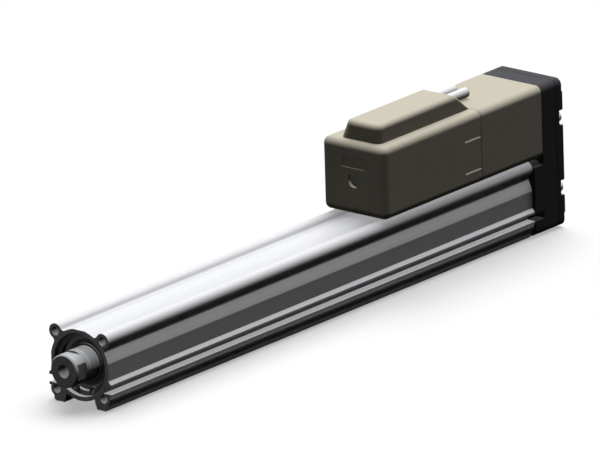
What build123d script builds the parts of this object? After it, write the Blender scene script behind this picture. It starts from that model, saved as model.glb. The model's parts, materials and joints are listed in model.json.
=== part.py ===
from build123d import *
from math import cos, hypot, pi, radians, sin, sqrt
import os

os.makedirs("parts", exist_ok=True)

# Electric rod actuator with a belt-driven ball screw and a parallel motor.
# Millimetres. The origin is on the rod axis at the front face of the body tube.
# +X is the way the rod extends, +Z is up. A depth is a distance behind the tube's front face.

# Clearances
running = 0.06
seat = 0.02
loose = 0.3
screw_gap = 0.1
overshoot = 1.0

# Travel
stroke = 250.0
end_gap = 1.0

# Front screw pattern, the size that the tube's section is drawn around
corner_pitch = 34.0
corner = corner_pitch / 2
boss_radius = 4.5
boss_reach = 3.04
neck_fillet = 2.3
tapped_radius = 2.5
tapped_depth = 16.0

# Body tube section
tube_radius = corner * sqrt(2) - boss_reach
tube_wall = 2.5
flat_depth = 0.4
flat_offset = tube_radius - flat_depth
end_bore_radius = tube_radius - tube_wall
cylinder_step = 1.1
cylinder_radius = end_bore_radius - cylinder_step
guide_depth = 0.9
guide_width = 4.0
axis_above_feet = corner + 7.0
foot_outer = corner + 2.2
foot_width = 7.3
foot_inner = foot_outer - foot_width
foot_chamfer = 1.1
foot_draft = 1.1
rib_outer = corner + 5.5
lip_height = 1.7
lip_bottom = -corner + lip_height
groove_height = 4.4
groove_depth = 5.7
groove_top = lip_bottom + lip_height + groove_height
groove_floor = groove_top - groove_height
groove_bottom_y = rib_outer - groove_depth
rib_height = 3.2
rib_root = 2.0
rib_top = groove_top + rib_height
foot_hole_radius = 2.1
foot_hole_depth = 6.5
foot_hole_spacing = 2 * corner - 5.0
front_foot_hole = 20.0
foot_hole_pitch = 76.0
rear_foot_hole_inset = 62.0
body_screw_radius = 2.0
body_screw_head = 3.5
body_screw_head_height = 3.4

# Rod end of the tube
ring_front = 3.0
ring_thickness = 1.5
ring_groove_depth = 0.7
ring_width = 3.6
ring_outer_radius = end_bore_radius + ring_groove_depth
ring_inner_radius = ring_outer_radius - ring_width
ring_ear_angle = 23.7
ring_ear_inset = 0.8
ring_ear_radius = 2.6
ring_ear_hole = 1.2
rod_radius = 10.0
cover_recess = 2.3
cover_rim = 0.6
cover_length = 26.0
scraper_wall = 3.5
scraper_length = 5.0
scraper_lip = 1.2
scraper_lip_height = 1.0
bush_wall = 1.6
bush_length = 15.0
seal_width = 2.0
seal_depth = 1.8
bumper_thickness = 3.0
bumper_air = 0.9

# Rod
rod_wall = 3.0
rod_bore_radius = rod_radius - rod_wall
rod_protrusion = 2.5
rod_chamfer = 0.6
socket_protrusion = 14.0
socket_step = 0.3
socket_radius = rod_radius - socket_step
socket_chamfer = 0.7
flat_cut = 1.2
socket_flats = 2 * (socket_radius - flat_cut)
flats_length = 7.2
flats_inset = 1.8
socket_spigot = 14.5
rod_thread_radius = 3.4
rod_thread_depth = 13.0
thread_chamfer = 0.5

# Piston and nut
piston_length = 44.0
piston_air = 0.3
piston_radius = cylinder_radius - piston_air
rod_seat_length = 15.0
rod_shoulder = 1.0
wear_ring_width = 8.0
wear_ring_depth = 1.2
magnet_width = 5.0
magnet_depth = 2.5
stopper_width = 8.0
stopper_depth = 3.0
piston_land = 3.0

# Screw and its bearings
screw_radius = 6.0
screw_front = 38.0
screw_shoulder = 1.0
journal_radius = screw_radius - screw_shoulder
support_length = 6.0
support_journal_radius = 4.0
nut_wall = 6.4
nut_radius = screw_radius + nut_wall
nut_inset = 2.0
nut_length = piston_length - rod_seat_length - rod_shoulder - nut_inset
housing_length = 49.5
housing_tail = 19.0
bearing_section = 8.0
bearing_radius = journal_radius + bearing_section
bearing_width = 8.0
bearing_count = 2
race_wall = 2.05
shield_gap = 0.1
shield_inset = 0.6
stopper_ring_width = 6.0
lock_nut_wall = 3.5

# Belt drive
tooth_count = 26
tooth_tip_radius = 12.2
tooth_depth = 0.9
belt_thickness = 1.3
belt_width = 6.0
flange_rise = 2.0
flange_radius = tooth_tip_radius + flange_rise
flange_thickness = 0.6
pulley_width = 7.5
pulley_side_gap = 0.5
cavity_gap = 0.8
cavity_radius = flange_radius + cavity_gap

# Motor section and how high its axis stands
case_margin = 6.0
case_half_width = corner + case_margin
shell = 2.0
floor_wall = 1.1
motor_air = 2.0
motor_floor_gap = 0.2
housing_lift = 0.7
housing_bottom = corner + boss_radius + housing_lift
motor_square = 2 * (case_half_width - shell - motor_air)
belt_centres = housing_bottom + floor_wall + motor_floor_gap + motor_square / 2
top_trim = 0.1
case_top = belt_centres + motor_square / 2 + motor_air + shell - top_trim

# Return box and plate
feet_clearance = 1.0
case_bottom = -axis_above_feet + feet_clearance
case_edge_radius = 4.0
parting_chamfer = 0.35
step_length = 8.0
step_top = corner + 1.4
post_radius = 3.4
box_length = 13.0
cavity_floor = 4.5
plate_thickness = 6.0
plate_relief = 0.8
relief_inset = 8.0
notch_height = 9.2
notch_depth = 3.2
plate_screw_inset = 4.0
plate_screw_y = case_half_width - plate_screw_inset
plate_screw_heights = (0.0, belt_centres - 0.5)
plate_screw_radius = 1.95
plate_screw_head = 3.4
plate_screw_head_height = 3.1
plate_screw_length = 12.0
plate_tap_depth = 9.0
socket_size = 1.5
socket_depth = 1.8

# Motor housings
cover_length_motor = 88.0
block_length = 55.5
block_rear_wall = 6.0
hump_rise = 11.0
hump_front_inset = 5.0
hump_right_inset = 7.75
hump_left_inset = 9.6
hump_lean = 0.436
hump_slope_length = 13.0
hump_edge_radius = 3.0
hump_corner_radius = 4.5
hump_top = case_top + hump_rise
hump_right = case_half_width - hump_right_inset
hump_left_base = hump_left_inset - case_half_width
hump_left_top = hump_left_base + hump_lean * hump_rise
hump_slope_fillet = 1.0
plaque_width = 16.0
plaque_height = 6.6
plaque_depth = 0.5
plaque_corner = 0.6
plaque_rise = 10.9
plug_radius = 4.1
plug_recess = 2.0
plug_thickness = 2.5
plug_chamfer = 0.3
slit_length = 15.0
slit_width = 0.9
slit_rises = (7.7, -11.3)

# Cables
cable_radius = 3.0
cable_hole_gap = 0.1
cable_margin = 5.2
cable_pitch = 8.6
lock_cable_y = hump_left_base + cable_margin
cable_ys = (lock_cable_y + cable_pitch, lock_cable_y)
cable_end_past_seam = 14.5
clamp_length = 8.0
clamp_inset = 24.0

# Motor
motor_corner = 3.0
motor_shaft_radius = 3.0
shaft_air = 1.0
shaft_opening = 3.0
flange_length = 8.0
stator_length = 48.0
end_cap_length = 12.0
motor_bearing_radius = 9.5
motor_bearing_width = 6.0
pilot_radius = 11.0
pilot_length = 2.0
rotor_radius = 11.0
rotor_inset = 2.0
brake_length = 26.0
brake_wall = 1.5
brake_disc_radius = 12.0
brake_disc_thickness = 3.0
brake_disc_gap = 2.0
encoder_length = 16.0
encoder_step = 2.5
encoder_wall = 1.5
board_thickness = 1.6
encoder_disc_radius = 9.0
encoder_disc_thickness = 1.5
encoder_disc_depth = 6.5
motor_bolt_inset = 3.5
motor_bolt = motor_square / 2 - motor_bolt_inset
motor_screw_radius = 1.5
motor_screw_head = 2.75
motor_screw_head_height = 2.8

# Depths worked out from the sizes above
cover_front = ring_front + ring_thickness
cover_face = cover_front + cover_recess
cover_rear = cover_front + cover_length
front_stop = cover_rear + bumper_thickness
piston_front = front_stop + end_gap + stroke
piston_rear = piston_front + piston_length
rear_stop = piston_rear + end_gap
housing_front = rear_stop + bumper_thickness
tube_length = housing_front + housing_length
box_front = tube_length + step_length
cavity_front = box_front + cavity_floor
plate_front = box_front + box_length
plate_rear = plate_front + plate_thickness
seam = box_front - block_length
motor_front = seam - cover_length_motor
rod_rear = piston_front + rod_seat_length
bearing_rear = tube_length - housing_tail
bearing_front = bearing_rear - bearing_count * bearing_width
block_wall_front = box_front - block_rear_wall
flange_front = block_wall_front - flange_length
stator_front = flange_front - stator_length
end_cap_front = stator_front - end_cap_length
brake_front = end_cap_front - brake_length
encoder_front = brake_front - encoder_length
pulley_front = cavity_front + pulley_side_gap
belt_front = pulley_front + (pulley_width - belt_width) / 2
cable_height = case_top + cable_radius + cable_hole_gap + running
clamp_front = seam - clamp_inset

pieces = {}


def section_plane(depth, height=0.0):
    # Local x is the part's Y, local y is its Z, and an extrusion runs forwards.
    return Plane(origin=(-depth, 0, height), x_dir=(0, 1, 0), z_dir=(1, 0, 0))


def round_slice(front, rear, radius, centre=(0.0, 0.0), mode=Mode.ADD):
    with BuildSketch(section_plane(rear)) as profile:
        with Locations(centre):
            Circle(radius)
    extrude(profile.sketch, amount=rear - front, mode=mode)


def square_slice(front, rear, width, height, centre, corner_radius=0.0, mode=Mode.ADD):
    with BuildSketch(section_plane(rear)) as profile:
        with Locations(centre):
            if corner_radius > 0:
                RectangleRounded(width, height, corner_radius)
            else:
                Rectangle(width, height)
    extrude(profile.sketch, amount=rear - front, mode=mode)


def ring_piece(front, rear, outer, inner, centre=(0.0, 0.0)):
    round_slice(front, rear, outer, centre)
    round_slice(front - overshoot, rear + overshoot, inner, centre, Mode.SUBTRACT)


def bore_slice(front, rear, radius, centre=(0.0, 0.0)):
    round_slice(front, rear, radius, centre, Mode.SUBTRACT)


def outside_groove(front, width, radius, depth):
    with BuildSketch(section_plane(front + width)) as groove:
        Circle(radius + overshoot)
        Circle(radius - depth, mode=Mode.SUBTRACT)
    extrude(groove.sketch, amount=width, mode=Mode.SUBTRACT)


motor_axis = (0.0, belt_centres)
corners = [(y, z) for y in (-corner, corner) for z in (-corner, corner)]
plate_screw_spots = [(y, z) for y in (-plate_screw_y, plate_screw_y) for z in plate_screw_heights]
motor_bolt_spots = [(y, belt_centres + z) for y in (-motor_bolt, motor_bolt) for z in (-motor_bolt, motor_bolt)]

# Body tube: a round tube with four screw bosses, side ribs, switch grooves and two feet
rib_step = rib_outer - flat_offset
with BuildPart() as body_tube:
    with BuildSketch(section_plane(tube_length)) as tube_section:
        Circle(tube_radius)
        with GridLocations(2 * corner, 2 * corner, 2, 2):
            Circle(boss_radius)
        necks = [
            v
            for v in tube_section.vertices()
            if abs(hypot(v.X, v.Y) - tube_radius) < 0.01 and min(abs(v.X), abs(v.Y)) > boss_radius
        ]
        fillet(necks, radius=neck_fillet)
        # Flats on top and on both sides
        with Locations((0, flat_offset + flat_depth / 2)):
            Rectangle(corner, flat_depth, mode=Mode.SUBTRACT)
        with GridLocations(2 * flat_offset + flat_depth, 1, 2, 1):
            Rectangle(flat_depth, corner, mode=Mode.SUBTRACT)
        # Ribs above and lips below the switch grooves
        with BuildLine():
            Polyline(
                (cylinder_radius, rib_top + rib_root),
                (flat_offset, rib_top + rib_root),
                (flat_offset, rib_top),
                (rib_outer, rib_top - rib_step),
                (rib_outer, lip_bottom),
                (corner, lip_bottom),
                close=True,
            )
        make_face()
        # Feet
        with BuildLine():
            Polyline(
                (foot_outer, -corner),
                (foot_outer, -axis_above_feet + foot_chamfer),
                (foot_outer - foot_chamfer, -axis_above_feet),
                (foot_inner, -axis_above_feet),
                (foot_inner - foot_draft, -tube_radius),
                (foot_inner - 2 * foot_draft, -corner),
                close=True,
            )
        make_face()
        mirror(about=Plane.YZ)
        with Locations((0, groove_top - groove_height / 2)):
            with GridLocations(2 * groove_bottom_y + 2 * groove_depth, 1, 2, 1):
                Rectangle(2 * groove_depth, groove_height, mode=Mode.SUBTRACT)
        Circle(cylinder_radius, mode=Mode.SUBTRACT)
        # Guide grooves for the rotation stopper, one towards each boss
        with PolarLocations(cylinder_radius, 4, start_angle=45):
            Rectangle(2 * guide_depth, guide_width, mode=Mode.SUBTRACT)
    extrude(amount=tube_length)
    bore_slice(0, cover_rear, end_bore_radius)
    bore_slice(housing_front, tube_length, end_bore_radius)
    bore_slice(ring_front - seat, cover_front + seat, ring_outer_radius + running)
    for spot in corners:
        bore_slice(0, tapped_depth, tapped_radius, spot)
        bore_slice(tube_length - tapped_depth, tube_length, body_screw_radius + seat, spot)
    foot_holes = [front_foot_hole, front_foot_hole + foot_hole_pitch, tube_length - rear_foot_hole_inset]
    for depth in foot_holes:
        with BuildSketch(Plane.XY.offset(-axis_above_feet)) as foot_hole_profile:
            with Locations((-depth, foot_hole_spacing / 2), (-depth, -foot_hole_spacing / 2)):
                Circle(foot_hole_radius)
        extrude(foot_hole_profile.sketch, amount=foot_hole_depth, mode=Mode.SUBTRACT)
pieces["body_tube"] = body_tube

# Retaining ring: an open ring with two pliers ears
ring_ear_reach = ring_inner_radius + ring_ear_inset
ring_ear_y = ring_ear_reach * sin(radians(ring_ear_angle))
ring_ear_z = -ring_ear_reach * cos(radians(ring_ear_angle))
with BuildPart() as retaining_ring:
    with BuildSketch(section_plane(cover_front)) as ring_section:
        Circle(ring_outer_radius)
        Circle(ring_inner_radius, mode=Mode.SUBTRACT)
        with Locations((ring_ear_y, ring_ear_z), (-ring_ear_y, ring_ear_z)):
            Circle(ring_ear_radius)
        with Locations((0, -ring_outer_radius / 2)):
            Rectangle(2 * (ring_ear_y - ring_ear_radius), ring_outer_radius, mode=Mode.SUBTRACT)
        with Locations((ring_ear_y, ring_ear_z), (-ring_ear_y, ring_ear_z)):
            Circle(ring_ear_hole, mode=Mode.SUBTRACT)
    extrude(amount=ring_thickness)
pieces["retaining_ring"] = retaining_ring

# Rod cover with its scraper, bush, ring seal and bumper
cover_radius = end_bore_radius - seat
cover_rim_radius = ring_inner_radius + cover_rim
scraper_radius = rod_radius + scraper_wall
bush_radius = rod_radius + bush_wall
bumper_radius = cylinder_radius - bumper_air
scraper_rear = cover_face + scraper_length
bush_rear = scraper_rear + bush_length
seal_front = scraper_rear + (bush_length - seal_width) / 2
with BuildPart() as rod_cover:
    round_slice(cover_front, cover_rear, cover_radius)
    bore_slice(cover_front, cover_face, cover_rim_radius)
    bore_slice(cover_face, scraper_rear, scraper_radius)
    bore_slice(scraper_rear, bush_rear, bush_radius)
    bore_slice(bush_rear, cover_rear, rod_radius + loose)
    outside_groove(seal_front, seal_width, cover_radius, seal_depth)
pieces["rod_cover"] = rod_cover

# The cover's outer seal is a square-cut ring
with BuildPart() as cover_seal:
    seal_inner_radius = cover_radius - seal_depth + seat
    ring_piece(seal_front + seat, seal_front + seal_width - seat, cover_radius, seal_inner_radius)
pieces["cover_seal"] = cover_seal

with BuildPart() as rod_scraper:
    ring_piece(cover_face, scraper_rear, scraper_radius - seat, rod_radius + running)
    with BuildSketch(section_plane(cover_face)):
        Circle(rod_radius + running + scraper_lip)
        Circle(rod_radius + running, mode=Mode.SUBTRACT)
    extrude(amount=scraper_lip_height)
pieces["rod_scraper"] = rod_scraper

with BuildPart() as rod_bush:
    ring_piece(scraper_rear, bush_rear, bush_radius - seat, rod_radius + running)
pieces["rod_bush"] = rod_bush

with BuildPart() as front_bumper:
    ring_piece(cover_rear, front_stop, bumper_radius, rod_radius + loose)
pieces["front_bumper"] = front_bumper

with BuildPart() as rear_bumper:
    ring_piece(rear_stop, housing_front, bumper_radius, screw_radius + 2 * loose)
pieces["rear_bumper"] = rear_bumper

# Piston rod: a tube, with the rod end socket plugged into its front
with BuildPart() as piston_rod:
    round_slice(-rod_protrusion, rod_rear, rod_radius)
    chamfer(piston_rod.edges().group_by(Axis.X)[-1], length=rod_chamfer)
    bore_slice(-rod_protrusion, rod_rear, rod_bore_radius)
pieces["piston_rod"] = piston_rod

flats_front = -socket_protrusion + flats_inset
with BuildPart() as rod_end_socket:
    round_slice(-socket_protrusion, -rod_protrusion, socket_radius)
    chamfer(rod_end_socket.edges().group_by(Axis.X)[-1], length=socket_chamfer)
    with BuildSketch(section_plane(flats_front + flats_length)) as flats_cut:
        Circle(socket_radius + overshoot)
        Rectangle(socket_flats, socket_flats, mode=Mode.SUBTRACT)
    extrude(flats_cut.sketch, amount=flats_length, mode=Mode.SUBTRACT)
    round_slice(-rod_protrusion, socket_spigot - rod_protrusion, rod_bore_radius - seat)
    bore_slice(-socket_protrusion, -socket_protrusion + rod_thread_depth, rod_thread_radius)
    mouth = rod_end_socket.edges().filter_by(GeomType.CIRCLE).group_by(Axis.X)[-1].sort_by(SortBy.RADIUS)[0]
    chamfer(mouth, length=thread_chamfer)
pieces["rod_end_socket"] = rod_end_socket

# Piston: carries the rod, the ball nut and three rings on its outside
nut_front = rod_rear + rod_shoulder
stopper_front = piston_front + piston_land
magnet_front = stopper_front + stopper_width + piston_land
wear_front = piston_rear - piston_land - wear_ring_width
with BuildPart() as piston:
    round_slice(piston_front, piston_rear, piston_radius)
    bore_slice(piston_front, rod_rear, rod_radius + seat)
    bore_slice(rod_rear, nut_front, rod_bore_radius)
    bore_slice(nut_front, piston_rear, nut_radius + seat)
    outside_groove(stopper_front, stopper_width, piston_radius, stopper_depth)
    outside_groove(magnet_front, magnet_width, piston_radius, magnet_depth)
    outside_groove(wear_front, wear_ring_width, piston_radius, wear_ring_depth)
pieces["piston"] = piston

with BuildPart() as rotation_stopper:
    with BuildSketch(section_plane(stopper_front + stopper_width - running)) as stopper_section:
        Circle(piston_radius)
        with PolarLocations(cylinder_radius - guide_depth, 4, start_angle=45):
            Rectangle(4 * guide_depth - 2 * running, guide_width - 2 * running)
        Circle(piston_radius - stopper_depth + seat, mode=Mode.SUBTRACT)
    extrude(amount=stopper_width - 2 * running)
pieces["rotation_stopper"] = rotation_stopper

with BuildPart() as magnet_ring:
    ring_piece(
        magnet_front + running,
        magnet_front + magnet_width - running,
        piston_radius,
        piston_radius - magnet_depth + seat,
    )
pieces["magnet_ring"] = magnet_ring

with BuildPart() as wear_ring:
    ring_piece(
        wear_front + running,
        wear_front + wear_ring_width - running,
        cylinder_radius - running,
        piston_radius - wear_ring_depth + seat,
    )
pieces["wear_ring"] = wear_ring

with BuildPart() as ball_nut:
    ring_piece(nut_front, nut_front + nut_length, nut_radius, screw_radius + running)
pieces["ball_nut"] = ball_nut

# Ball screw, its front support and its rear bearings
journal_rear = pulley_front + pulley_width - pulley_side_gap
with BuildPart() as ball_screw:
    round_slice(screw_front + support_length, bearing_front, screw_radius)
    round_slice(screw_front, screw_front + support_length, support_journal_radius)
    round_slice(bearing_front, journal_rear, journal_radius)
    chamfer(ball_screw.edges().group_by(Axis.X)[0], length=pulley_side_gap)
pieces["ball_screw"] = ball_screw

with BuildPart() as screw_end_support:
    ring_piece(
        screw_front, screw_front + support_length, rod_bore_radius - running, support_journal_radius + seat
    )
pieces["screw_end_support"] = screw_end_support

with BuildPart() as bearing_housing:
    ring_piece(housing_front, tube_length, end_bore_radius - seat, screw_radius + 2 * loose)
    bore_slice(bearing_front, tube_length, bearing_radius + seat)
pieces["bearing_housing"] = bearing_housing

# Two bearings side by side; a shielded ring fills the room between the races
lock_nut_radius = journal_radius + lock_nut_wall
bearing_fronts = [bearing_front + row * bearing_width for row in range(bearing_count)]
with BuildPart() as bearing_outer_rings:
    for front in bearing_fronts:
        ring_piece(front, front + bearing_width - seat, bearing_radius, bearing_radius - race_wall)
pieces["bearing_outer_rings"] = bearing_outer_rings

with BuildPart() as bearing_inner_rings:
    for front in bearing_fronts:
        ring_piece(front, front + bearing_width - seat, journal_radius + race_wall, journal_radius + seat)
pieces["bearing_inner_rings"] = bearing_inner_rings

with BuildPart() as bearing_shields:
    for front in bearing_fronts:
        ring_piece(
            front + shield_inset,
            front + bearing_width - shield_inset,
            bearing_radius - race_wall,
            journal_radius + race_wall + shield_gap,
        )
pieces["bearing_shields"] = bearing_shields

with BuildPart() as bearing_stopper:
    ring_piece(bearing_rear, bearing_rear + stopper_ring_width, bearing_radius, lock_nut_radius + loose)
pieces["bearing_stopper"] = bearing_stopper

with BuildPart() as screw_lock_nut:
    ring_piece(bearing_rear, bearing_rear + stopper_ring_width, lock_nut_radius, journal_radius + seat)
pieces["screw_lock_nut"] = screw_lock_nut


# Toothed pulleys and belt
def toothed_pulley(height, bore):
    with BuildSketch(section_plane(pulley_front + pulley_width)) as teeth:
        with Locations((0, height)):
            Circle(tooth_tip_radius)
            with PolarLocations(tooth_tip_radius, tooth_count):
                Rectangle(2 * tooth_depth, pi * tooth_tip_radius / tooth_count, mode=Mode.SUBTRACT)
    extrude(teeth.sketch, amount=pulley_width)
    round_slice(pulley_front, pulley_front + flange_thickness, flange_radius, (0, height))
    rear = pulley_front + pulley_width
    round_slice(rear - flange_thickness, rear, flange_radius, (0, height))
    bore_slice(pulley_front, rear, bore, (0, height))


with BuildPart() as screw_pulley:
    toothed_pulley(0.0, journal_radius + seat)
pieces["screw_pulley"] = screw_pulley

with BuildPart() as motor_pulley:
    toothed_pulley(belt_centres, motor_shaft_radius + seat)
pieces["motor_pulley"] = motor_pulley

belt_inner = tooth_tip_radius + loose
with BuildPart() as drive_belt:
    with BuildSketch(section_plane(belt_front + belt_width)) as belt_section:
        with Locations((0, belt_centres / 2)):
            SlotCenterToCenter(belt_centres, 2 * (belt_inner + belt_thickness), rotation=90)
            SlotCenterToCenter(belt_centres, 2 * belt_inner, rotation=90, mode=Mode.SUBTRACT)
    extrude(amount=belt_width)
pieces["drive_belt"] = drive_belt

# Return box: a cast case for the belt, with a step in front that meets the tube
case_height = case_top - case_bottom
case_centre = (0.0, (case_top + case_bottom) / 2)
step_height = step_top - case_bottom
screw_head_front = cavity_front - body_screw_head_height
with BuildPart() as return_box:
    square_slice(box_front, plate_front, 2 * case_half_width, case_height, case_centre, case_edge_radius)
    chamfer(return_box.edges().group_by(Axis.X)[0], length=parting_chamfer)
    with BuildSketch(section_plane(box_front)) as step_section:
        with Locations((0, case_bottom + step_height / 2)):
            Rectangle(2 * case_half_width, step_height)
        fillet(step_section.vertices().group_by(Axis.Y)[0], radius=case_edge_radius)
        with Locations((corner, corner), (-corner, corner)):
            Circle(post_radius)
        with Locations((0, groove_top - groove_height / 2)):
            with GridLocations(2 * groove_bottom_y + 2 * case_margin, 1, 2, 1):
                Rectangle(2 * case_margin, groove_height, mode=Mode.SUBTRACT)
    extrude(amount=step_length)
    rim = return_box.edges().filter_by_position(Axis.X, -box_front - seat, -box_front + seat)
    chamfer(rim.filter_by_position(Axis.Z, housing_bottom, case_top), length=parting_chamfer)
    with BuildSketch(section_plane(plate_front)) as cavity_section:
        with Locations((0, belt_centres / 2)):
            SlotCenterToCenter(belt_centres, 2 * cavity_radius, rotation=90)
    extrude(amount=plate_front - cavity_front, mode=Mode.SUBTRACT)
    bore_slice(tube_length, cavity_front, journal_radius + shaft_opening)
    bore_slice(box_front, cavity_front, motor_shaft_radius + shaft_opening, motor_axis)
    for spot in corners:
        bore_slice(tube_length, plate_front, body_screw_radius + screw_gap, spot)
        bore_slice(screw_head_front, plate_front, body_screw_head + loose, spot)
    for spot in plate_screw_spots:
        bore_slice(plate_front - plate_tap_depth, plate_front, plate_screw_radius + seat, spot)
pieces["return_box"] = return_box

with BuildPart() as body_screws:
    for spot in corners:
        round_slice(tube_length - tapped_depth + 2 * end_gap, screw_head_front, body_screw_radius, spot)
        round_slice(screw_head_front, cavity_front - seat, body_screw_head, spot)
pieces["body_screws"] = body_screws

relief_height = case_height - 2 * relief_inset
with BuildPart() as return_plate:
    square_slice(
        plate_front, plate_rear - plate_relief, 2 * case_half_width, case_height, case_centre, case_edge_radius
    )
    chamfer(return_plate.edges().group_by(Axis.X)[-1], length=parting_chamfer)
    square_slice(plate_rear - plate_relief, plate_rear, 2 * case_half_width, relief_height, case_centre)
    for y, z in plate_screw_spots:
        side = 1 if y > 0 else -1
        bore_slice(plate_rear - notch_depth, plate_rear, notch_height / 2, (y, z))
        square_slice(
            plate_rear - notch_depth,
            plate_rear,
            notch_height,
            notch_height,
            (y + side * notch_height / 2, z),
            mode=Mode.SUBTRACT,
        )
        bore_slice(plate_front, plate_rear, plate_screw_radius + seat, (y, z))
pieces["return_plate"] = return_plate

head_seat = plate_rear - notch_depth
screw_tip = head_seat + plate_screw_head_height - plate_screw_length
with BuildPart() as return_plate_screws:
    for spot in plate_screw_spots:
        round_slice(screw_tip, head_seat, plate_screw_radius, spot)
        round_slice(head_seat, head_seat + plate_screw_head_height, plate_screw_head, spot)
    heads = return_plate_screws.edges().filter_by(GeomType.CIRCLE).group_by(Axis.X)[0]
    chamfer(heads, length=parting_chamfer)
    with BuildSketch(section_plane(head_seat + plate_screw_head_height)) as sockets:
        with Locations(*plate_screw_spots):
            RegularPolygon(socket_size, 6)
    extrude(sockets.sketch, amount=socket_depth, mode=Mode.SUBTRACT)
pieces["return_plate_screws"] = return_plate_screws

# Motor block: the housing between the motor cover and the return box
housing_height = case_top - housing_bottom
housing_centre = (0.0, (case_top + housing_bottom) / 2)
room_height = housing_height - shell - floor_wall
room_centre = (0.0, housing_bottom + floor_wall + room_height / 2)
room_width = 2 * (case_half_width - shell)
motor_head_front = box_front - motor_screw_head_height - screw_gap
with BuildPart() as motor_block:
    square_slice(seam, box_front, 2 * case_half_width, housing_height, housing_centre, case_edge_radius)
    ends = motor_block.edges().group_by(Axis.X)
    chamfer(ends[0] + ends[-1], length=parting_chamfer)
    square_slice(
        seam, block_wall_front, room_width, room_height, room_centre, case_edge_radius - shell, Mode.SUBTRACT
    )
    bore_slice(block_wall_front, box_front, pilot_radius + seat, motor_axis)
    for spot in motor_bolt_spots:
        bore_slice(block_wall_front, box_front, motor_screw_radius + screw_gap, spot)
        bore_slice(motor_head_front, box_front, motor_screw_head + screw_gap, spot)
pieces["motor_block"] = motor_block

# Motor cover: a shell with a raised cable hump on top
hump_front = motor_front + hump_front_inset
hump_rear = seam - parting_chamfer - loose
hump_base = case_top - case_edge_radius
slope_shift = hypot(hump_slope_length, hump_rise) / hump_rise


def hump_shape(inset):
    # The left side leans inwards and the rear slopes down to the cover's top.
    front = hump_front + inset
    rear = hump_rear - slope_shift * inset
    left_base = hump_left_base + inset - hump_lean * case_edge_radius
    left_top = hump_left_top + inset - hump_lean * inset
    with BuildPart() as hump:
        with BuildSketch(section_plane(rear)):
            with BuildLine():
                Polyline(
                    (hump_right - inset, hump_base),
                    (hump_right - inset, hump_top - inset),
                    (left_top, hump_top - inset),
                    (left_base, hump_base),
                    close=True,
                )
            make_face()
        extrude(amount=rear - front)
        with BuildSketch(Plane.XZ.offset(-case_half_width)):
            with BuildLine():
                Polyline(
                    (-rear, case_top),
                    (-rear + 2 * hump_slope_length, case_top + 2 * hump_rise),
                    (-rear, case_top + 2 * hump_rise),
                    close=True,
                )
            make_face()
        extrude(amount=2 * case_half_width, mode=Mode.SUBTRACT)
    return hump


with BuildPart() as outer_hump:
    add(hump_shape(0).part)
    front_face = outer_hump.faces().sort_by(Axis.X)[-1]
    uprights = front_face.edges().filter_by(lambda edge: abs(edge.tangent_at(0.5).Z) > 0.5)
    fillet(uprights, radius=hump_corner_radius)
    fillet(outer_hump.faces().sort_by(Axis.Z)[-1].edges(), radius=hump_edge_radius)
    straight = outer_hump.edges().filter_by(GeomType.LINE)
    # The two straight edges that run down the rear slope lean in X and in Z
    slanting = straight.filter_by(lambda edge: abs(edge.tangent_at(0.5).X * edge.tangent_at(0.5).Z) > 0.1)
    fillet(slanting, radius=hump_slope_fillet)

with BuildPart() as motor_cover:
    square_slice(motor_front, seam, 2 * case_half_width, housing_height, housing_centre)
    long_edges = motor_cover.edges().filter_by(Axis.X)
    front_edges = motor_cover.faces().sort_by(Axis.X)[-1].edges()
    fillet(long_edges + front_edges, radius=case_edge_radius)
    chamfer(motor_cover.edges().group_by(Axis.X)[0], length=parting_chamfer)
    add(outer_hump.part)
    square_slice(
        motor_front + shell, seam, room_width, room_height, room_centre, case_edge_radius - shell, Mode.SUBTRACT
    )
    add(hump_shape(shell).part, mode=Mode.SUBTRACT)
    # Bare plaque recess, the plug's seat, the snap slits and the cable holes
    square_slice(
        motor_front,
        motor_front + plaque_depth,
        plaque_width,
        plaque_height,
        (0, belt_centres + plaque_rise),
        plaque_corner,
        Mode.SUBTRACT,
    )
    plug_front = motor_front + plug_recess
    round_slice(plug_front, plug_front + plug_thickness, plug_radius + shell, motor_axis)
    bore_slice(motor_front, plug_front + plug_thickness, plug_radius, motor_axis)
    for rise in slit_rises:
        slit_centre = (0, belt_centres + rise)
        square_slice(seam - slit_length, seam, 3 * case_half_width, slit_width, slit_centre, mode=Mode.SUBTRACT)
    for y in cable_ys:
        bore_slice(clamp_front, seam + end_gap, cable_radius + cable_hole_gap, (y, cable_height))
pieces["motor_cover"] = motor_cover

with BuildPart() as override_plug:
    round_slice(plug_front, plug_front + plug_thickness, plug_radius - seat, motor_axis)
    chamfer(override_plug.edges().group_by(Axis.X)[-1], length=plug_chamfer)
pieces["override_plug"] = override_plug

# Cut cable leads, held by a clamp under the hump
clamp_rear = clamp_front + clamp_length
clamp_right = cable_ys[0] + cable_radius + floor_wall
clamp_low = case_top - end_gap
clamp_ceiling = hump_top - shell
clamp_left_low = hump_left_base + shell + hump_lean * (cable_height - case_top) + loose
clamp_left_high = hump_left_top + shell + loose
with BuildPart() as cable_clamp:
    with BuildSketch(section_plane(clamp_rear)):
        with BuildLine():
            Polyline(
                (clamp_left_low, clamp_low),
                (clamp_right, clamp_low),
                (clamp_right, clamp_ceiling),
                (clamp_left_high, clamp_ceiling),
                (clamp_left_high, cable_height),
                (clamp_left_low, cable_height),
                close=True,
            )
        make_face()
    extrude(amount=clamp_length)
    for y in cable_ys:
        bore_slice(clamp_front, clamp_rear, cable_radius + seat, (y, cable_height))
pieces["cable_clamp"] = cable_clamp

for name, y in zip(("motor_cable", "lock_cable"), cable_ys):
    with BuildPart() as cable:
        round_slice(clamp_front + end_gap, seam + cable_end_past_seam, cable_radius, (y, cable_height))
    pieces[name] = cable

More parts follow.
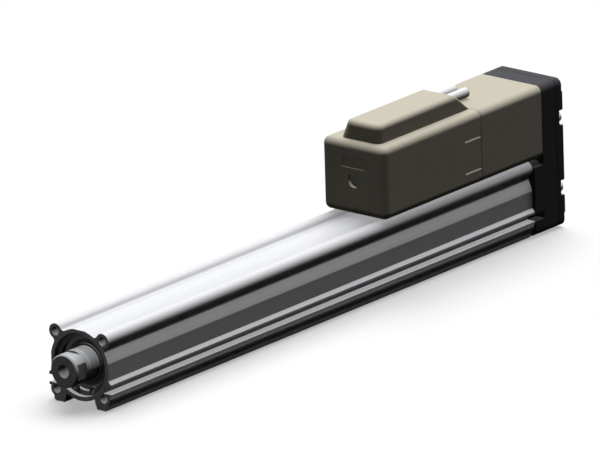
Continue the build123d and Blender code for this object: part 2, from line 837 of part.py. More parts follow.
# Motor: flange, stator and end cap, held to the block by four screws
with BuildPart() as motor_flange:
    square_slice(flange_front, block_wall_front, motor_square, motor_square, motor_axis, motor_corner)
    round_slice(block_wall_front, block_wall_front + pilot_length, pilot_radius, motor_axis)
    bore_slice(flange_front, flange_front + motor_bearing_width, motor_bearing_radius + seat, motor_axis)
    bore_slice(flange_front, block_wall_front + pilot_length, motor_shaft_radius + 2 * shaft_air, motor_axis)
    for spot in motor_bolt_spots:
        bore_slice(flange_front, block_wall_front, motor_screw_radius + seat, spot)
pieces["motor_flange"] = motor_flange

with BuildPart() as motor_screws:
    for spot in motor_bolt_spots:
        round_slice(flange_front + end_gap, motor_head_front, motor_screw_radius, spot)
        round_slice(motor_head_front, motor_head_front + motor_screw_head_height, motor_screw_head, spot)
pieces["motor_screws"] = motor_screws

with BuildPart() as motor_stator:
    square_slice(stator_front, flange_front, motor_square, motor_square, motor_axis)
    chamfer(motor_stator.edges().filter_by(Axis.X), length=motor_corner)
    bore_slice(stator_front, flange_front, rotor_radius + loose, motor_axis)
pieces["motor_stator"] = motor_stator

with BuildPart() as motor_end_cap:
    square_slice(end_cap_front, stator_front, motor_square, motor_square, motor_axis, motor_corner)
    bearing_seat_front = stator_front - motor_bearing_width
    bore_slice(bearing_seat_front, stator_front, motor_bearing_radius + seat, motor_axis)
    bore_slice(end_cap_front, stator_front, motor_shaft_radius + shaft_air, motor_axis)
pieces["motor_end_cap"] = motor_end_cap

with BuildPart() as motor_bearings:
    for front in (flange_front, bearing_seat_front):
        ring_piece(
            front, front + motor_bearing_width, motor_bearing_radius, motor_shaft_radius + running, motor_axis
        )
pieces["motor_bearings"] = motor_bearings

with BuildPart() as motor_shaft:
    round_slice(encoder_front + encoder_disc_depth - end_gap, journal_rear, motor_shaft_radius, motor_axis)
pieces["motor_shaft"] = motor_shaft

with BuildPart() as motor_rotor:
    rotor_front = stator_front + rotor_inset
    ring_piece(rotor_front, flange_front - rotor_inset, rotor_radius, motor_shaft_radius + seat, motor_axis)
pieces["motor_rotor"] = motor_rotor

# Holding brake and encoder on the motor's free end
brake_radius = motor_square / 2 - brake_wall
disc_front = end_cap_front - brake_disc_gap - brake_disc_thickness
with BuildPart() as brake_housing:
    round_slice(brake_front, end_cap_front, brake_radius, motor_axis)
    bore_slice(brake_front, end_cap_front, motor_shaft_radius + shaft_air, motor_axis)
    bore_slice(disc_front - loose, end_cap_front, brake_disc_radius + 2 * loose, motor_axis)
pieces["brake_housing"] = brake_housing

with BuildPart() as brake_disc:
    disc_rear = disc_front + brake_disc_thickness
    ring_piece(disc_front, disc_rear, brake_disc_radius, motor_shaft_radius + seat, motor_axis)
pieces["brake_disc"] = brake_disc

encoder_radius = brake_radius - encoder_step
encoder_room = encoder_radius - encoder_wall
board_front = encoder_front + encoder_wall
with BuildPart() as encoder_case:
    round_slice(encoder_front, brake_front, encoder_radius, motor_axis)
    bore_slice(board_front, brake_front, encoder_room, motor_axis)
pieces["encoder_case"] = encoder_case

with BuildPart() as encoder_board:
    round_slice(board_front, board_front + board_thickness, encoder_room - seat, motor_axis)
pieces["encoder_board"] = encoder_board

with BuildPart() as encoder_disc:
    front = encoder_front + encoder_disc_depth
    rear = front + encoder_disc_thickness
    ring_piece(front, rear, encoder_disc_radius, motor_shaft_radius + seat, motor_axis)
pieces["encoder_disc"] = encoder_disc

for label, piece in pieces.items():
    piece.part.label = label
    export_step(piece.part, f"parts/{label}.step")
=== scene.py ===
import json
import math

import bpy
import numpy as np
from mathutils import Matrix, Vector


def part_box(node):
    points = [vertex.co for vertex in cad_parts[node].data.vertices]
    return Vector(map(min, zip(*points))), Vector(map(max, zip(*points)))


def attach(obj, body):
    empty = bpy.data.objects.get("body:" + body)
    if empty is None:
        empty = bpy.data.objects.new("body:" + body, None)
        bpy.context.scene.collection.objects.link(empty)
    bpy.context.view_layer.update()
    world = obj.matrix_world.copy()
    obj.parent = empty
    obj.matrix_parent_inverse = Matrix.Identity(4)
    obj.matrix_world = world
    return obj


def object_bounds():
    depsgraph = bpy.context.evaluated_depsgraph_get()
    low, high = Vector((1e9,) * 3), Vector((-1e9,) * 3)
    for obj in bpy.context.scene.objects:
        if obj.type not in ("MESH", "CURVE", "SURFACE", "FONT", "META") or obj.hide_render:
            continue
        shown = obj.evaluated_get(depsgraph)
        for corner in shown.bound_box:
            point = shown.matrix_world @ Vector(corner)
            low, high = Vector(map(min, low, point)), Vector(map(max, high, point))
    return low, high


# Looks of the electric rod actuator. Lengths are in metres in the frame's axes:
# the origin is on the rod axis at the tube's front face, +X is the way the rod extends, +Z is up.

mm = 0.001
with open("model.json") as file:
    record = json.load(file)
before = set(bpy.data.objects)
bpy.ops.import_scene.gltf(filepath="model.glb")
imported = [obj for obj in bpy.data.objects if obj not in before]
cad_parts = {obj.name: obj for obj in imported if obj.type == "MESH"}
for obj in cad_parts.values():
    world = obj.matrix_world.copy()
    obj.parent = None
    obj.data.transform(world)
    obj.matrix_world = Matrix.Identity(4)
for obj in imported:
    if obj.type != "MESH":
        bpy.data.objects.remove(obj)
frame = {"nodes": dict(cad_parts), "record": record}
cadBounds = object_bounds()
nodes = frame["nodes"]
slotOf = {entry["node"]: entry["material_slot"] for entry in frame["record"]["subparts"]}
print("frame loaded:", len(nodes), "nodes")


# Materials: each is a pattern of the way the surface was made, and a finish that wears it, with painted
# shade darkening its edges
def linear(hexColour):
    # sRGB hex to linear colour: each channel has a straight foot and then a power of 2.4
    channels = [int(hexColour[i:i + 2], 16) / 255 for i in (1, 3, 5)]
    return tuple(c / 12.92 if c <= 0.04045 else ((c + 0.055) / 1.055) ** 2.4 for c in channels) + (1.0,)


def addNode(tree, kind, inputs=None, **settings):
    # A node with its settings, then its inputs: a number goes on the socket and an output is linked
    node = tree.nodes.new(kind)
    for name, value in settings.items():
        setattr(node, name, value)
    for key, value in (inputs or {}).items():
        if isinstance(value, bpy.types.NodeSocket):
            tree.links.new(value, node.inputs[key])
        else:
            node.inputs[key].default_value = value
    return node


def millimetres(tree, stretch=(1.0, 1.0, 1.0)):
    # The point on the piece in millimetres, each axis multiplied by its stretch
    place = addNode(tree, "ShaderNodeTexCoord")
    factors = tuple(share / mm for share in stretch)
    inputs = {0: place.outputs["Object"], 1: factors}
    return addNode(tree, "ShaderNodeVectorMath", inputs, operation="MULTIPLY").outputs[0]


# How many octaves of finer noise each pattern has on its grain
mouldDetail = 2.0
paintDetail = 3.0
turnedDetail = 3.0
dieDetail = 4.0


def mouldGrain(tree, finish):
    # Noise as wide as the grain in every direction, as a spark-eroded mould leaves it
    inputs = {"Vector": millimetres(tree), "Scale": 1.0 / finish["grain"], "Detail": mouldDetail}
    return addNode(tree, "ShaderNodeTexNoise", inputs).outputs["Fac"]


def paintWaves(tree, finish):
    # Noise as wide as the grain, with finer noise on it: the waves that sprayed paint dries in
    inputs = {"Vector": millimetres(tree), "Scale": 1.0 / finish["grain"], "Detail": paintDetail}
    return addNode(tree, "ShaderNodeTexNoise", inputs).outputs["Fac"]


dieLineLength = 100.0  # how many times longer than wide a die line is
dieLineRough = 0.6  # how strong the finer lines are


def dieLines(tree, finish):
    # Noise as wide as the grain across the profile, drawn out along X, the way it left the die
    place = millimetres(tree, (1.0 / dieLineLength, 1.0, 1.0))
    inputs = {"Vector": place, "Scale": 1.0 / finish["grain"], "Detail": dieDetail}
    return addNode(tree, "ShaderNodeTexNoise", inputs | {"Roughness": dieLineRough}).outputs["Fac"]


def turnedRings(tree, finish):
    # Noise of two numbers, x and the distance from the turning axis, so it is the same all the way round.
    # Screws in a rectangle share it: y and z are folded about the middle before the distance is taken.
    foldHeight = finish.get("foldHeight", 0.0)
    across, above = finish.get("axisAt", (0.0, 0.0))
    parts = addNode(tree, "ShaderNodeSeparateXYZ", {0: millimetres(tree)})
    side = addNode(tree, "ShaderNodeMath", {0: parts.outputs["Y"]}, operation="ABSOLUTE")
    sideways = addNode(tree, "ShaderNodeMath", {0: side.outputs[0], 1: across}, operation="SUBTRACT")
    height = addNode(tree, "ShaderNodeMath", {0: parts.outputs["Z"], 1: foldHeight}, operation="SUBTRACT")
    folded = addNode(tree, "ShaderNodeMath", {0: height.outputs[0]}, operation="ABSOLUTE")
    upwards = addNode(tree, "ShaderNodeMath", {0: folded.outputs[0], 1: above}, operation="SUBTRACT")
    radial = addNode(tree, "ShaderNodeCombineXYZ", {"X": sideways.outputs[0], "Y": upwards.outputs[0]})
    distance = addNode(tree, "ShaderNodeVectorMath", {0: radial.outputs[0]}, operation="LENGTH")
    place = addNode(tree, "ShaderNodeCombineXYZ", {"X": parts.outputs["X"], "Y": distance.outputs["Value"]})
    inputs = {"Vector": place.outputs[0], "Scale": 1.0 / finish["grain"], "Detail": turnedDetail}
    return addNode(tree, "ShaderNodeTexNoise", inputs).outputs["Fac"]


patternRange = (0.3, 0.7)  # where nearly all of a noise's values lie
smudgeSize = 16.0  # handling marks, in mm across
smudgeRough = 0.04  # how much they add to the roughness
# The edge samples find the averaged normal that rounds the edges; with the edge turn they also set where
# painted shade darkens the colour along edges and creases
edgeSamples = 4  # rays that find an edge
edgeShadeTurn = (0.80, 0.98)  # cosine of the edge's lean where it is full and where it ends
reliefShare = 0.5  # how strongly the relief turns the normal
mixFirst, mixSecond, mixResult = 6, 7, 2  # a Mix node's sockets when it mixes colours


def wearAndPaintedEdgeShade(tree, shader, pattern, finish):
    # The pattern carries the colour from base to second, the roughness over its range and the relief from
    # foot to crest, and wide smudges add to the roughness. The normal is averaged over the edge radius,
    # and where it leans from the true one the colour is multiplied by the edge tone: painted shade, dark
    # lines along every edge and crease.
    low, high = patternRange
    share = addNode(tree, "ShaderNodeMapRange", {"Value": pattern, "From Min": low, "From Max": high})
    colours = {mixFirst: linear(finish["base"]), mixSecond: linear(finish["second"])}
    mixed = {"Factor": share.outputs["Result"]} | colours
    tone = addNode(tree, "ShaderNodeMix", mixed, data_type="RGBA")
    soft = addNode(tree, "ShaderNodeBevel", {"Radius": finish["edge"] * mm}, samples=edgeSamples)
    surface = addNode(tree, "ShaderNodeNewGeometry")
    normals = {0: soft.outputs["Normal"], 1: surface.outputs["Normal"]}
    lean = addNode(tree, "ShaderNodeVectorMath", normals, operation="DOT_PRODUCT")
    # Painted shade: the colour darkens towards every edge and crease by how far the normal leans
    edges = {"Value": lean.outputs["Value"], "From Min": edgeShadeTurn[0], "From Max": edgeShadeTurn[1]}
    edge = addNode(tree, "ShaderNodeMapRange", edges | {"To Min": finish["paintedEdgeShade"], "To Max": 1.0})
    shaded = {0: tone.outputs[mixResult], 1: edge.outputs["Result"]}
    colour = addNode(tree, "ShaderNodeVectorMath", shaded, operation="MULTIPLY")
    tree.links.new(colour.outputs[0], shader.inputs["Base Color"])

    smooth, dull = finish["rough"]
    sheens = {"Value": share.outputs["Result"], "To Min": smooth, "To Max": dull}
    sheen = addNode(tree, "ShaderNodeMapRange", sheens)
    marks = addNode(tree, "ShaderNodeTexNoise", {"Vector": millimetres(tree), "Scale": 1.0 / smudgeSize})
    smudges = {"Value": marks.outputs["Fac"], "From Min": low, "From Max": high, "To Max": smudgeRough}
    smudge = addNode(tree, "ShaderNodeMapRange", smudges)
    total = {0: sheen.outputs["Result"], 1: smudge.outputs["Result"]}
    roughness = addNode(tree, "ShaderNodeMath", total, operation="ADD")
    tree.links.new(roughness.outputs[0], shader.inputs["Roughness"])

    relief = {"Height": pattern, "Distance": finish["relief"] * mm, "Strength": reliefShare}
    bump = addNode(tree, "ShaderNodeBump", relief | {"Normal": soft.outputs["Normal"]})
    tree.links.new(bump.outputs["Normal"], shader.inputs["Normal"])


plainSpecular = 0.5  # the shader's own level, for a surface that names none


def makeMaterial(finish):
    # A Principled shader with the numbers that are the same all over on its own sockets
    material = bpy.data.materials.new(finish["name"])
    material.use_nodes = True
    tree = material.node_tree
    tree.nodes.clear()
    specular = finish.get("specular", plainSpecular)
    fixed = {"Metallic": finish.get("metallic", 0.0), "Specular IOR Level": specular}
    shader = addNode(tree, "ShaderNodeBsdfPrincipled", fixed)
    addNode(tree, "ShaderNodeOutputMaterial", {"Surface": shader.outputs["BSDF"]})
    wearAndPaintedEdgeShade(tree, shader, finish["surface"](tree, finish), finish)
    return material


def middleHeight(node):
    # The height in mm halfway between the lowest and the highest point of a piece
    low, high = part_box(node)
    return (low[2] + high[2]) / 2 / mm


motorAxis = {"foldHeight": middleHeight("motor_shaft")}
# Half the way between the plate's screws, across and up, in mm
screwAxes = {"foldHeight": middleHeight("return_plate_screws"), "axisAt": (19.0, 21.0)}

# Grain, edge and relief are in mm. Turning and grinding marks are finer on the real part, and are drawn
# coarse enough to show. The tube, the rod, its end and the ring are shaded matt in the photo, so their
# metallic value is far below that of bare metal.
# The edge tone of each finish is painted shade: how dark its colour is made along edges and creases
finishes = {
    # Drawn and anodised: fine die lines along the tube under a satin film
    "anodised_aluminium": {
        "name": "anodisedAluminium", "surface": dieLines, "grain": 0.35,
        "base": "#f0f1f3", "second": "#e6e7ea", "rough": (0.36, 0.46), "relief": 0.008,
        "metallic": 0.01, "specular": 0.10, "edge": 0.35, "paintedEdgeShade": 0.35,
    },
    # Injection moulded: a fine mould grain that keeps the sheen low and even
    "beige_plastic": {
        "name": "beigeMouldedPlastic", "surface": mouldGrain, "grain": 0.5,
        "base": "#c8c2b1", "second": "#c5beae", "rough": (0.45, 0.56), "relief": 0.03,
        "specular": 0.10, "edge": 0.35, "paintedEdgeShade": 0.35,
    },
    # Die cast and painted black: low waves that break up the light on the flats
    "black_casting": {
        "name": "blackPaintedCasting", "surface": paintWaves, "grain": 1.6,
        "base": "#404044", "second": "#48484c", "rough": (0.45, 0.58), "relief": 0.05,
        "specular": 0.06, "edge": 0.3, "paintedEdgeShade": 0.4,
    },
    # Ground and hard chromed: close rings and a narrow soft highlight along the rod
    "chromed_rod": {
        "name": "hardChromedRod", "surface": turnedRings, "grain": 0.25,
        "base": "#ebedf0", "second": "#e2e4e7", "rough": (0.19, 0.30), "relief": 0.006,
        "metallic": 0.12, "edge": 0.3, "paintedEdgeShade": 0.5,
    },
    # Turned steel: rings that catch the light on the end face and round the chamfer
    "socket_steel": {
        "name": "machinedSocketSteel", "surface": turnedRings, "grain": 0.25,
        "base": "#ced0d3", "second": "#c4c6c8", "rough": (0.33, 0.46), "relief": 0.006,
        "metallic": 0.02, "specular": 0.2, "edge": 0.3, "paintedEdgeShade": 0.35,
    },
    # Phosphated spring wire: a dull grey coat that the pliers have rubbed
    "spring_steel": {
        "name": "phosphatedSpringSteel", "surface": turnedRings, "grain": 0.3,
        "base": "#7a7b80", "second": "#6c6d72", "rough": (0.40, 0.53), "relief": 0.006,
        "metallic": 0.12, "edge": 0.2, "paintedEdgeShade": 0.5,
    },
    # Moulded rubber lip: matt and slightly mottled
    "seal_rubber": {
        "name": "greySealRubber", "surface": mouldGrain, "grain": 0.6,
        "base": "#8c8d90", "second": "#838487", "rough": (0.55, 0.66), "relief": 0.03,
        "specular": 0.10, "edge": 0.2, "paintedEdgeShade": 0.5,
    },
    # Zinc-plated cap screws: turned heads with a bright cool plating
    "zinc_screws": {
        "name": "zincPlatedScrew", "surface": turnedRings, "grain": 0.25,
        "base": "#d5d7da", "second": "#b5b7bb", "rough": (0.20, 0.32), "relief": 0.006,
        "metallic": 1.0, "edge": 0.2, "paintedEdgeShade": 0.6, **screwAxes,
    },
    # Moulded plug: a shade greyer and smoother than the cover round it
    "grey_plug": {
        "name": "lightGreyPlug", "surface": mouldGrain, "grain": 0.4,
        "base": "#c9c8c3", "second": "#c1c0bb", "rough": (0.45, 0.56), "relief": 0.02,
        "specular": 0.10, "edge": 0.2, "paintedEdgeShade": 0.5,
    },
    # Extruded cable jacket: smooth and pale with a soft plastic sheen
    "cable_jacket": {
        "name": "paleCableJacket", "surface": mouldGrain, "grain": 1.2,
        "base": "#f6f6f8", "second": "#eeeff1", "rough": (0.30, 0.41), "relief": 0.02,
        "specular": 0.2, "edge": 0.2, "paintedEdgeShade": 0.6,
    },
    # Oiled bearing bronze: warm rings with a wet look
    "bronze": {
        "name": "oiledBronze", "surface": turnedRings, "grain": 0.3,
        "base": "#a97b3f", "second": "#8c6330", "rough": (0.30, 0.43), "relief": 0.006,
        "metallic": 1.0, "edge": 0.2, "paintedEdgeShade": 0.7,
    },
    # Cast urethane: dark, soft and dull
    "bumper_rubber": {
        "name": "urethaneBumper", "surface": mouldGrain, "grain": 0.6,
        "base": "#262626", "second": "#303030", "rough": (0.55, 0.66), "relief": 0.03,
        "specular": 0.10, "edge": 0.2, "paintedEdgeShade": 0.7,
    },
    # Ground bearing steel: the brightest and closest rings
    "bearing_steel": {
        "name": "groundBearingSteel", "surface": turnedRings, "grain": 0.2,
        "base": "#b9babd", "second": "#9a9b9f", "rough": (0.17, 0.30), "relief": 0.004,
        "metallic": 1.0, "edge": 0.2, "paintedEdgeShade": 0.7,
    },
    # Plain turned steel: greyer and rougher than the ground parts
    "steel": {
        "name": "machinedSteel", "surface": turnedRings, "grain": 0.3,
        "base": "#8f9094", "second": "#77787c", "rough": (0.30, 0.43), "relief": 0.006,
        "metallic": 1.0, "edge": 0.2, "paintedEdgeShade": 0.7,
    },
    # Moulded belt: black fabric-faced rubber without a shine
    "belt_rubber": {
        "name": "beltRubber", "surface": mouldGrain, "grain": 0.4,
        "base": "#1b1b1b", "second": "#262626", "rough": (0.65, 0.76), "relief": 0.03,
        "specular": 0.10, "edge": 0.2, "paintedEdgeShade": 0.7,
    },
    # Glass-filled nylon: near black with a dry bloom
    "black_plastic": {
        "name": "blackNylon", "surface": mouldGrain, "grain": 0.5,
        "base": "#1e1e1e", "second": "#262626", "rough": (0.45, 0.56), "relief": 0.03,
        "specular": 0.10, "edge": 0.2, "paintedEdgeShade": 0.7,
    },
    # Bare die casting: pale grey skin with shallow flow waves
    "motor_casting": {
        "name": "dieCastAluminium", "surface": paintWaves, "grain": 1.6,
        "base": "#a9aaad", "second": "#9b9ca0", "rough": (0.40, 0.53), "relief": 0.05,
        "specular": 0.2, "edge": 0.25, "paintedEdgeShade": 0.6,
    },
    # Stacked electrical steel: the rings stand for the sheets, a little coarser than they are
    "laminations": {
        "name": "motorLaminations", "surface": turnedRings, "grain": 0.5,
        "base": "#5b5c60", "second": "#4a4b4f", "rough": (0.35, 0.48), "relief": 0.02,
        "metallic": 1.0, "edge": 0.2, "paintedEdgeShade": 0.7, **motorAxis,
    },
    # Sheet steel of the brake: rolled, then turned on its faces
    "brake_steel": {
        "name": "brakeSteel", "surface": turnedRings, "grain": 0.4,
        "base": "#77787c", "second": "#66676b", "rough": (0.35, 0.48), "relief": 0.006,
        "metallic": 1.0, "edge": 0.2, "paintedEdgeShade": 0.7, **motorAxis,
    },
    # Solder mask on glass board: smooth green with slow changes of tone
    "circuit_board": {
        "name": "solderMask", "surface": mouldGrain, "grain": 2.0,
        "base": "#1e5a34", "second": "#1a4d2d", "rough": (0.25, 0.36), "relief": 0.01,
        "edge": 0.2, "paintedEdgeShade": 0.7,
    },
    # Machined aluminium of the piston: bright rings without a film
    "piston_aluminium": {
        "name": "machinedAluminium", "surface": turnedRings, "grain": 0.3,
        "base": "#b4b6b9", "second": "#a4a6a9", "rough": (0.25, 0.38), "relief": 0.006,
        "metallic": 1.0, "edge": 0.2, "paintedEdgeShade": 0.7,
    },
    # Sintered magnet: dark grey with a fine dry grain
    "magnet": {
        "name": "sinteredMagnet", "surface": paintWaves, "grain": 0.8,
        "base": "#3c3c40", "second": "#46464b", "rough": (0.45, 0.58), "relief": 0.02,
        "specular": 0.2, "edge": 0.2, "paintedEdgeShade": 0.7,
    },
    # Acetal guide parts: waxy white
    "white_acetal": {
        "name": "whiteAcetal", "surface": mouldGrain, "grain": 0.8,
        "base": "#e2e1da", "second": "#d9d8d0", "rough": (0.35, 0.46), "relief": 0.01,
        "specular": 0.3, "edge": 0.2, "paintedEdgeShade": 0.7,
    },
    # Ground screw steel: cool and bright under oil
    "screw_steel": {
        "name": "groundScrewSteel", "surface": turnedRings, "grain": 0.25,
        "base": "#a2a3a7", "second": "#8e8f93", "rough": (0.17, 0.30), "relief": 0.006,
        "metallic": 1.0, "edge": 0.2, "paintedEdgeShade": 0.7,
    },
    # Hobbed aluminium pulleys: bright rings on the flanges
    "pulley_aluminium": {
        "name": "pulleyAluminium", "surface": turnedRings, "grain": 0.3,
        "base": "#b8babd", "second": "#a6a8ab", "rough": (0.25, 0.38), "relief": 0.006,
        "metallic": 1.0, "edge": 0.2, "paintedEdgeShade": 0.7,
    },
}
materials = {slot: makeMaterial(finish) for slot, finish in finishes.items()}
for name, node in nodes.items():
    for slot in node.material_slots:
        slot.material = materials[slotOf[name]]
print("materials set:", len(materials))


# Threads: a ridge with a flat crest climbs the wall of a plain hole. Sizes are in mm, and mouth is how
# far out along the axis the ridge's mouth lies from the place that the mount states.
threads = {
    "cornerThreads": {
        "mounts": ["front_face_holes"],
        "mouth": 0.0,
        "ridge": 0.42,
        "pitch": 0.8,
        "depth": 15.2,
        "body": "body",
        "slot": "anodised_aluminium",
    },
    "footThreads": {
        "mounts": ["foot_holes_front", "foot_holes_rear"],
        "mouth": 0.0,
        "ridge": 0.3,
        "pitch": 0.8,
        "depth": 5.6,
        "body": "body",
        "slot": "anodised_aluminium",
    },
    "rodEndThread": {
        "mounts": ["rod_end_thread"],
        "mouth": 6.0,
        "ridge": 0.42,
        "pitch": 1.25,
        "depth": 12.0,
        "body": "rod",
        "slot": "socket_steel",
    },
}
threadSteps = 28  # points in a turn
ridgeRoot = 0.05  # how far the ridge's foot sinks into the wall, in mm
ridgeShort = 0.5  # how far short of the mouth the ridge ends, in turns
footShare = 0.42  # half the foot's width, as a share of the pitch
crestShare = 0.08  # half the crest's width, likewise


mounts = {mount["name"]: mount for mount in frame["record"]["mounts"]}


def holeMouths(mount, mouth):
    # The centres of a mount's holes: its place, plus the mouth along its axis, plus or minus half of
    # each spacing that it states along the frame's two other axes
    axis = np.array(mount["axis"])
    middle = np.array(mount["pos_m"]) / mm + mouth * axis
    across, along = np.eye(3)[axis == 0]
    halves = [mount["dims"].get(key, 0.0) / 2 for key in ("spacing_x_mm", "spacing_y_mm")]
    sides, ends = (sorted({-half, half}) for half in halves)
    return [middle + side * across + end * along for side in sides for end in ends]


def meshFrom(name, points, faces):
    # Rows of points in mm, and arrays of faces as rows of point numbers, put into a mesh as they are
    mesh = bpy.data.meshes.new(name)
    rows = [face for block in faces for face in block.tolist()]
    mesh.from_pydata((points * mm).tolist(), [], rows)
    mesh.update()
    piece = bpy.data.objects.new(name, mesh)
    bpy.context.scene.collection.objects.link(piece)
    return piece


def sweptFaces(rows, columns, first):
    # Each point of a row, the next point round it and the same two in the next row make a face
    row, column = np.meshgrid(np.arange(rows - 1), np.arange(columns), indexing="ij")
    after = (column + 1) % columns
    here, there = row * columns, (row + 1) * columns
    return first + np.stack([here + column, here + after, there + after, there + column], -1).reshape(-1, 4)


def threadRidge(name, spec):
    # A ridge section of four points, foot, crest, crest and foot, is carried round the hole's axis.
    # The point at an angle is the mouth, plus the axis times the section's own place and one pitch
    # for each full turn less the depth, plus its radius times the direction that the angle gives.
    stated = [mounts[mount] for mount in spec["mounts"]]
    mouths = np.array([place for mount in stated for place in holeMouths(mount, spec["mouth"])])
    dims = stated[0]["dims"]
    wall = dims.get("hole_r_mm", dims.get("r_mm"))
    axis = np.array(stated[0]["axis"])
    side = np.array([0.0, 1.0, 0.0])
    up = np.cross(axis, side)
    pitch = spec["pitch"]
    foot, crest = wall + ridgeRoot, wall - spec["ridge"]
    along = np.array([-footShare, -crestShare, crestShare, footShare]) * pitch
    radius = np.array([foot, crest, crest, foot])
    turns = spec["depth"] / pitch - ridgeShort
    angle = np.linspace(0.0, 2 * np.pi * turns, int(turns * threadSteps))[:, None]
    travel = (along + pitch * angle / (2 * np.pi) - spec["depth"])[..., None] * axis
    around = (radius * np.cos(angle))[..., None] * side + (radius * np.sin(angle))[..., None] * up
    ridge = (travel + around).reshape(-1, 3)
    points = (mouths[:, None, :] + ridge).reshape(-1, 3)
    faces = []
    for first in np.arange(len(mouths)) * len(ridge):
        last = first + len(ridge) - len(radius)
        ends = np.array([[first + 3, first + 2, first + 1, first], [last, last + 1, last + 2, last + 3]])
        faces += [sweptFaces(len(angle), len(radius), first), ends]
    piece = meshFrom(name, points, faces)
    piece.data.materials.append(materials[spec["slot"]])
    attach(piece, spec["body"])


for name, spec in threads.items():
    threadRidge(name, spec)
print("threads cut:", len(threads))


# Cores: what shows where the two leads are cut, an insulated core and its copper. Sizes are in mm.
cores = {
    "motorInsulation": {
        "cable": "motor_cable", "count": 4, "circle": 1.45,
        "radius": 0.85, "proud": 0.2, "slot": "black_plastic",
    },
    "motorCopper": {
        "cable": "motor_cable", "count": 4, "circle": 1.45,
        "radius": 0.45, "proud": 0.35, "slot": "bronze",
    },
    "lockInsulation": {
        "cable": "lock_cable", "count": 2, "circle": 1.0,
        "radius": 0.8, "proud": 0.2, "slot": "black_plastic",
    },
    "lockCopper": {
        "cable": "lock_cable", "count": 2, "circle": 1.0,
        "radius": 0.4, "proud": 0.35, "slot": "bronze",
    },
}
coreSteps = 20  # points round a core
coreSunk = 0.5  # how far a core goes on inside the jacket, in mm
coreChamfer = 0.08  # at the end that shows, in mm


def cableCores(name, spec):
    # Each core is a turned profile of three rings, laid along X from its chamfered end into the jacket.
    # A ring's point is the cable's axis, plus the circle's radius in the core's own direction, plus the
    # ring's radius in the direction of the angle. One face closes each end.
    low, high = (np.array(corner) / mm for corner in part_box(spec["cable"]))
    axis = (low + high) / 2
    along = low[0] + np.array([-spec["proud"], coreChamfer - spec["proud"], coreSunk])
    radius = spec["radius"] - np.array([coreChamfer, 0.0, 0.0])
    angle = 2 * np.pi * np.arange(coreSteps) / coreSteps
    turned = np.stack(
        [
            np.broadcast_to(along[:, None], (len(along), coreSteps)),
            radius[:, None] * np.cos(angle),
            radius[:, None] * np.sin(angle),
        ],
        -1,
    ).reshape(-1, 3)
    spread = 2 * np.pi * (np.arange(spec["count"]) + 0.5) / spec["count"]
    centres = spec["circle"] * np.stack([np.cos(spread), np.sin(spread)], -1) + axis[1:]
    centres = np.column_stack([np.zeros(spec["count"]), centres])
    points = (centres[:, None, :] + turned).reshape(-1, 3)
    ring = np.arange(coreSteps)
    faces = []
    for first in np.arange(spec["count"]) * len(turned):
        ends = np.array([first + ring[::-1], first + len(turned) - coreSteps + ring])
        faces += [sweptFaces(len(along), coreSteps, first), ends]
    piece = meshFrom(name, points, faces)
    piece.data.materials.append(materials[spec["slot"]])
    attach(piece, "body")


for name, spec in cores.items():
    cableCores(name, spec)
print("cores laid:", len(cores))


# Studio
firstBounce = 0.5  # between a diffuse depth of none and of one


def whenSeen(tree, lit, seen):
    # seen where the eye meets the white studio, itself or mirrored in metal or glass,
    # and lit where a matt surface looks at it, so that it doesn't act as a lamp
    path = addNode(tree, "ShaderNodeLightPath")
    sharp = {0: path.outputs["Is Glossy Ray"], 1: path.outputs["Is Transmission Ray"]}
    mirrored = addNode(tree, "ShaderNodeMath", sharp, operation="MAXIMUM")
    rays = {0: mirrored.outputs[0], 1: path.outputs["Is Camera Ray"]}
    direct = addNode(tree, "ShaderNodeMath", rays, operation="MAXIMUM")
    depth = {0: path.outputs["Diffuse Depth"], 1: firstBounce}
    straight = addNode(tree, "ShaderNodeMath", depth, operation="LESS_THAN")
    shown = {0: direct.outputs[0], 1: straight.outputs[0]}
    both = addNode(tree, "ShaderNodeMath", shown, operation="MULTIPLY")
    level = {"Value": both.outputs[0], "To Min": lit, "To Max": seen}
    return addNode(tree, "ShaderNodeMapRange", level).outputs["Result"]


# Half the floor's side in mm, how white it is to the eye, and to what it would light
floorSpec = {"half": 12000.0, "seen": 0.92, "bounce": 0.02}


def makeFloor():
    # A level square at the lowest point, with its corners in mm
    lowest = cadBounds[0].z / mm
    half = floorSpec["half"]
    corners = [(-half, -half, lowest), (half, -half, lowest), (half, half, lowest), (-half, half, lowest)]
    floor = meshFrom("floor", np.array(corners), [np.array([[0, 1, 2, 3]])])
    material = bpy.data.materials.new("paleFloor")
    material.use_nodes = True
    tree = material.node_tree
    tree.nodes.clear()
    shade = whenSeen(tree, floorSpec["bounce"], floorSpec["seen"])
    pale = addNode(tree, "ShaderNodeBsdfDiffuse", {"Color": shade})
    addNode(tree, "ShaderNodeOutputMaterial", {"Surface": pale.outputs[0]})
    floor.data.materials.append(material)


# How bright the white room is to the eye, and to the matt surfaces that it fills
room = {"colour": "#ffffff", "seen": 1.0, "fill": 0.012}


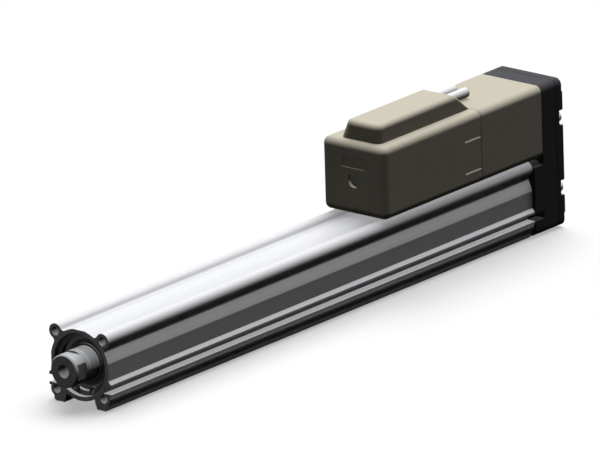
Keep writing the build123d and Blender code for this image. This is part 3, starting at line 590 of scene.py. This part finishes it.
def makeWorld():
    # An even room on every side
    world = bpy.data.worlds.new("studio")
    bpy.context.scene.world = world
    world.use_nodes = True
    tree = world.node_tree
    tree.nodes.clear()
    strength = whenSeen(tree, room["fill"], room["seen"])
    light = {"Color": linear(room["colour"]), "Strength": strength}
    background = addNode(tree, "ShaderNodeBackground", light)
    addNode(tree, "ShaderNodeOutputWorld", {"Surface": background.outputs[0]})


# The key lamp is wide and makes the soft shadows. The even one has none, so that it reaches into
# the mouth and the holes. Tilts are in degrees about X and Y from straight down.
lamps = {
    "keyLamp": {
        "strength": 2.2, "angle": 56.0, "tilt": (7.0, -21.0), "shadow": True, "bounces": 0,
    },
    "evenLamp": {
        "strength": 1.4, "angle": 20.0, "tilt": (-1.0, 2.0), "shadow": False, "bounces": 0,
    },
}


def makeSun(name, spec):
    # A sun turned from straight down by its two tilts
    lamp = bpy.data.lights.new(name, "SUN")
    lamp.energy = spec["strength"]
    lamp.angle = math.radians(spec["angle"])
    lamp.use_shadow = spec["shadow"]
    lamp.cycles.max_bounces = spec["bounces"]
    sun = bpy.data.objects.new(name, lamp)
    sun.rotation_euler = [math.radians(tilt) for tilt in spec["tilt"]] + [0.0]
    bpy.context.scene.collection.objects.link(sun)


# The photo's view is parallel, so the camera stands far off behind a long lens.
# Its directions follow the photo's three sets of parallel edges. Places are in metres.
camera = {
    "right": (-0.62897671, 0.77690628, -0.02837127),
    "up": (-0.25528609, -0.17193192, 0.95145595),
    "location": (8.81183911, 7.43109684, 3.78579167),
    "lens": 1300.0,
    "sensor": 36.0,
    "clip": (1.0, 100.0),
}


def makeCamera():
    # It looks against the cross product of its right and up directions, made square to each other
    right = Vector(camera["right"]).normalized()
    up = Vector(camera["up"])
    up = (up - right * up.dot(right)).normalized()
    back = right.cross(up)
    data = bpy.data.cameras.new("photoCamera")
    data.sensor_width = camera["sensor"]
    data.lens = camera["lens"]
    data.clip_start, data.clip_end = camera["clip"]
    stand = bpy.data.objects.new("photoCamera", data)
    stand.matrix_world = Matrix((right, up, back)).transposed().to_4x4()
    stand.location = camera["location"]
    bpy.context.scene.collection.objects.link(stand)
    bpy.context.scene.camera = stand


makeFloor()
makeWorld()
for name, spec in lamps.items():
    makeSun(name, spec)
makeCamera()
bpy.context.scene.view_settings.view_transform = "Standard"
print("stage set")
